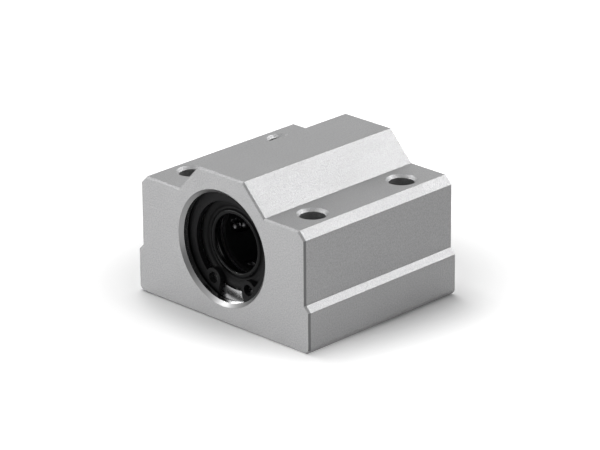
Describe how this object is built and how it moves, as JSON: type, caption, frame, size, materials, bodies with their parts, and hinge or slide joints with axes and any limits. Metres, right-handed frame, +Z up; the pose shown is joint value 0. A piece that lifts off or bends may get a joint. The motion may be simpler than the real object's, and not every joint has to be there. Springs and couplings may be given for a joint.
{
  "type": "linear bearing block",
  "caption": "Aluminium block with a recirculating ball bushing for a round shaft, held by internal circlips, with drilled wings for mounting screws.",
  "frame": {"origin": "centre of the flat base, under the middle of the block", "axes": "+X across the wings, +Y along the shaft towards the rear end, +Z up, away from the base"},
  "size_m": [0.04, 0.035, 0.026],
  "materials": {
    "anodised_aluminium": "satin, finely blasted",
    "bearing_steel": "ground",
    "cage_resin": "moulded",
    "ring_steel": "plain",
    "seal_rubber": "matte",
    "black_spring_steel": "black phosphate and oil",
    "ball_steel": "polished"
  },
  "bodies": {
    "block": {"housing": "anodised_aluminium", "bearing_sleeve": "bearing_steel", "ball_cage": "cage_resin", "front_side_ring": "ring_steel", "rear_side_ring": "ring_steel", "front_seal": "seal_rubber", "rear_seal": "seal_rubber", "front_circlip": "black_spring_steel", "rear_circlip": "black_spring_steel"},
    "balls_row_load_1": {"ball_row_load_1": "ball_steel"},
    "balls_row_return_1": {"ball_row_return_1": "ball_steel"},
    "balls_turn_front_1": {"ball_turn_front_1": "ball_steel"},
    "balls_turn_rear_1": {"ball_turn_rear_1": "ball_steel"},
    "balls_row_load_2": {"ball_row_load_2": "ball_steel"},
    "balls_row_return_2": {"ball_row_return_2": "ball_steel"},
    "balls_turn_front_2": {"ball_turn_front_2": "ball_steel"},
    "balls_turn_rear_2": {"ball_turn_rear_2": "ball_steel"},
    "balls_row_load_3": {"ball_row_load_3": "ball_steel"},
    "balls_row_return_3": {"ball_row_return_3": "ball_steel"},
    "balls_turn_front_3": {"ball_turn_front_3": "ball_steel"},
    "balls_turn_rear_3": {"ball_turn_rear_3": "ball_steel"},
    "balls_row_load_4": {"ball_row_load_4": "ball_steel"},
    "balls_row_return_4": {"ball_row_return_4": "ball_steel"},
    "balls_turn_front_4": {"ball_turn_front_4": "ball_steel"},
    "balls_turn_rear_4": {"ball_turn_rear_4": "ball_steel"}
  },
  "joints": [
    {"name": "load_row_slide_1", "type": "slide", "parent": "block", "child": "balls_row_load_1", "axis": [0, 1, 0], "range_m": [-0.00106, 0.00106]},
    {"name": "return_row_slide_1", "type": "slide", "parent": "block", "child": "balls_row_return_1", "axis": [0, 1, 0], "range_m": [-0.00106, 0.00106]},
    {"name": "front_turn_swing_1", "type": "hinge", "parent": "block", "child": "balls_turn_front_1", "pos_m": [0.00161, -0.00745, 0.019], "axis": [0, 0, 1], "range_deg": [-30, 30]},
    {"name": "rear_turn_swing_1", "type": "hinge", "parent": "block", "child": "balls_turn_rear_1", "pos_m": [0.00161, 0.00745, 0.019], "axis": [0, 0, 1], "range_deg": [-30, 30]},
    {"name": "load_row_slide_2", "type": "slide", "parent": "block", "child": "balls_row_load_2", "axis": [0, 1, 0], "range_m": [-0.00106, 0.00106]},
    {"name": "return_row_slide_2", "type": "slide", "parent": "block", "child": "balls_row_return_2", "axis": [0, 1, 0], "range_m": [-0.00106, 0.00106]},
    {"name": "front_turn_swing_2", "type": "hinge", "parent": "block", "child": "balls_turn_front_2", "pos_m": [0.006, -0.00745, 0.01139], "axis": [1, 0, 0], "range_deg": [-30, 30]},
    {"name": "rear_turn_swing_2", "type": "hinge", "parent": "block", "child": "balls_turn_rear_2", "pos_m": [0.006, 0.00745, 0.01139], "axis": [1, 0, 0], "range_deg": [-30, 30]},
    {"name": "load_row_slide_3", "type": "slide", "parent": "block", "child": "balls_row_load_3", "axis": [0, 1, 0], "range_m": [-0.00106, 0.00106]},
    {"name": "return_row_slide_3", "type": "slide", "parent": "block", "child": "balls_row_return_3", "axis": [0, 1, 0], "range_m": [-0.00106, 0.00106]},
    {"name": "front_turn_swing_3", "type": "hinge", "parent": "block", "child": "balls_turn_front_3", "pos_m": [-0.00161, -0.00745, 0.007], "axis": [0, 0, -1], "range_deg": [-30, 30]},
    {"name": "rear_turn_swing_3", "type": "hinge", "parent": "block", "child": "balls_turn_rear_3", "pos_m": [-0.00161, 0.00745, 0.007], "axis": [0, 0, -1], "range_deg": [-30, 30]},
    {"name": "load_row_slide_4", "type": "slide", "parent": "block", "child": "balls_row_load_4", "axis": [0, 1, 0], "range_m": [-0.00106, 0.00106]},
    {"name": "return_row_slide_4", "type": "slide", "parent": "block", "child": "balls_row_return_4", "axis": [0, 1, 0], "range_m": [-0.00106, 0.00106]},
    {"name": "front_turn_swing_4", "type": "hinge", "parent": "block", "child": "balls_turn_front_4", "pos_m": [-0.006, -0.00745, 0.01461], "axis": [-1, 0, 0], "range_deg": [-30, 30]},
    {"name": "rear_turn_swing_4", "type": "hinge", "parent": "block", "child": "balls_turn_rear_4", "pos_m": [-0.006, 0.00745, 0.01461], "axis": [-1, 0, 0], "range_deg": [-30, 30]}
  ],
  "couplings": [
    {"joint": "return_row_slide_1", "follows": "load_row_slide_1", "ratio": -1},
    {"joint": "front_turn_swing_1", "follows": "load_row_slide_1", "rad_per_m": -491.64},
    {"joint": "rear_turn_swing_1", "follows": "load_row_slide_1", "rad_per_m": -491.64},
    {"joint": "return_row_slide_2", "follows": "load_row_slide_2", "ratio": -1},
    {"joint": "front_turn_swing_2", "follows": "load_row_slide_2", "rad_per_m": -491.64},
    {"joint": "rear_turn_swing_2", "follows": "load_row_slide_2", "rad_per_m": -491.64},
    {"joint": "return_row_slide_3", "follows": "load_row_slide_3", "ratio": -1},
    {"joint": "front_turn_swing_3", "follows": "load_row_slide_3", "rad_per_m": -491.64},
    {"joint": "rear_turn_swing_3", "follows": "load_row_slide_3", "rad_per_m": -491.64},
    {"joint": "return_row_slide_4", "follows": "load_row_slide_4", "ratio": -1},
    {"joint": "front_turn_swing_4", "follows": "load_row_slide_4", "rad_per_m": -491.64},
    {"joint": "rear_turn_swing_4", "follows": "load_row_slide_4", "rad_per_m": -491.64}
  ]
}
